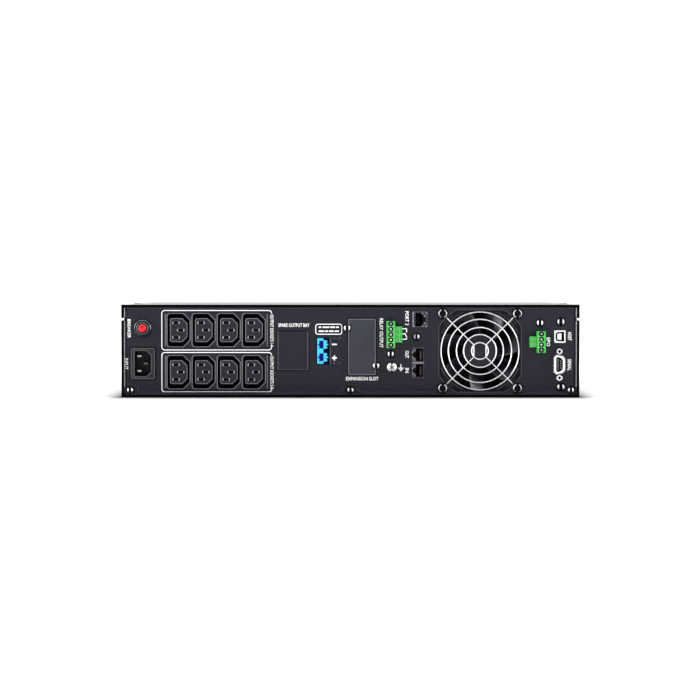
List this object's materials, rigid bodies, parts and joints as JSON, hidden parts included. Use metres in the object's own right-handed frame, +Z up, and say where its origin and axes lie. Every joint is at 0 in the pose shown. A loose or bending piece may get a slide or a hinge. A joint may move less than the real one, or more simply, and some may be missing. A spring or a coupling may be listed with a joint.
{
  "type": "rackmount ups",
  "caption": "Rack-mount uninterruptible power supply with rack ears, socket banks, mains inlet, control ports, cooling fan, front display and battery door.",
  "frame": {"origin": "middle of the footprint, on the underside of the chassis", "axes": "+X to the right for someone behind the unit, +Y towards the front bezel, +Z up"},
  "size_m": [0.4826, 0.439, 0.088],
  "materials": {
    "black_paint": "fine-textured black powder coat",
    "grey_paint": "dark grey satin paint",
    "black_plastic": "satin black moulding",
    "socket_plastic": "satin charcoal moulding",
    "key_plastic": "satin charcoal key",
    "red_plastic": "glossy red",
    "blue_plastic": "satin light blue",
    "green_plastic": "satin mid green",
    "display_lens": "smoked glossy window",
    "bright_metal": "bright nickel plate",
    "dark_metal": "black nickel plate",
    "aluminium": "plain extruded aluminium",
    "circuit_board": "green solder mask",
    "battery_case": "grey moulded case",
    "winding": "enamelled copper winding"
  },
  "bodies": {
    "chassis": {"base_chassis": "black_paint", "top_cover": "black_paint", "rear_panel": "black_paint", "front_panel": "black_paint", "rack_ear_left": "black_paint", "rack_ear_right": "black_paint", "blank_cover": "black_paint", "slot_cover": "grey_paint", "battery_retainer": "grey_paint", "battery_tray": "grey_paint", "bay_divider": "grey_paint", "front_bezel": "black_plastic", "battery_door": "black_plastic", "breaker_body": "black_plastic", "fan_frame": "black_plastic", "bus_capacitor": "black_plastic", "outlet_bank_upper": "socket_plastic", "outlet_bank_lower": "socket_plastic", "inlet_housing": "socket_plastic", "network_jack": "socket_plastic", "surge_jack_pair": "socket_plastic", "battery_connector": "blue_plastic", "relay_header": "green_plastic", "relay_plug": "green_plastic", "power_off_header": "green_plastic", "power_off_plug": "green_plastic", "display_lens": "display_lens", "inlet_pin_line": "bright_metal", "inlet_pin_neutral": "bright_metal", "inlet_pin_earth": "bright_metal", "ground_screw": "bright_metal", "fan_guard": "bright_metal", "usb_port": "bright_metal", "serial_port": "bright_metal", "serial_standoff_upper": "bright_metal", "serial_standoff_lower": "bright_metal", "breaker_nut": "dark_metal", "panel_screw_left": "dark_metal", "panel_screw_middle": "dark_metal", "panel_screw_right": "dark_metal", "fan_screw_1": "dark_metal", "fan_screw_2": "dark_metal", "fan_screw_3": "dark_metal", "fan_screw_4": "dark_metal", "heat_sink_left": "aluminium", "heat_sink_right": "aluminium", "network_board": "circuit_board", "port_board": "circuit_board", "display_board": "circuit_board", "power_board": "circuit_board", "battery_block_1": "battery_case", "battery_block_2": "battery_case", "battery_block_3": "battery_case", "output_inductor": "winding"},
    "fan_rotor": {"fan_rotor": "black_plastic"},
    "breaker_button": {"breaker_button": "red_plastic"},
    "power_button": {"power_button": "key_plastic"},
    "up_key": {"up_key": "key_plastic"},
    "down_key": {"down_key": "key_plastic"},
    "enter_key": {"enter_key": "key_plastic"}
  },
  "joints": [
    {"name": "fan_spin", "type": "hinge", "parent": "chassis", "child": "fan_rotor", "pos_m": [0.124, -0.194, 0.0441], "axis": [0, -1, 0], "continuous": true},
    {"name": "breaker_trip", "type": "slide", "parent": "chassis", "child": "breaker_button", "axis": [0, -1, 0], "range_m": [0, 0.004]},
    {"name": "power_press", "type": "slide", "parent": "chassis", "child": "power_button", "axis": [0, -1, 0], "range_m": [0, 0.001], "stiffness_N_per_m": 400},
    {"name": "up_press", "type": "slide", "parent": "chassis", "child": "up_key", "axis": [0, -1, 0], "range_m": [0, 0.001], "stiffness_N_per_m": 400},
    {"name": "down_press", "type": "slide", "parent": "chassis", "child": "down_key", "axis": [0, -1, 0], "range_m": [0, 0.001], "stiffness_N_per_m": 400},
    {"name": "enter_press", "type": "slide", "parent": "chassis", "child": "enter_key", "axis": [0, -1, 0], "range_m": [0, 0.001], "stiffness_N_per_m": 400}
  ]
}
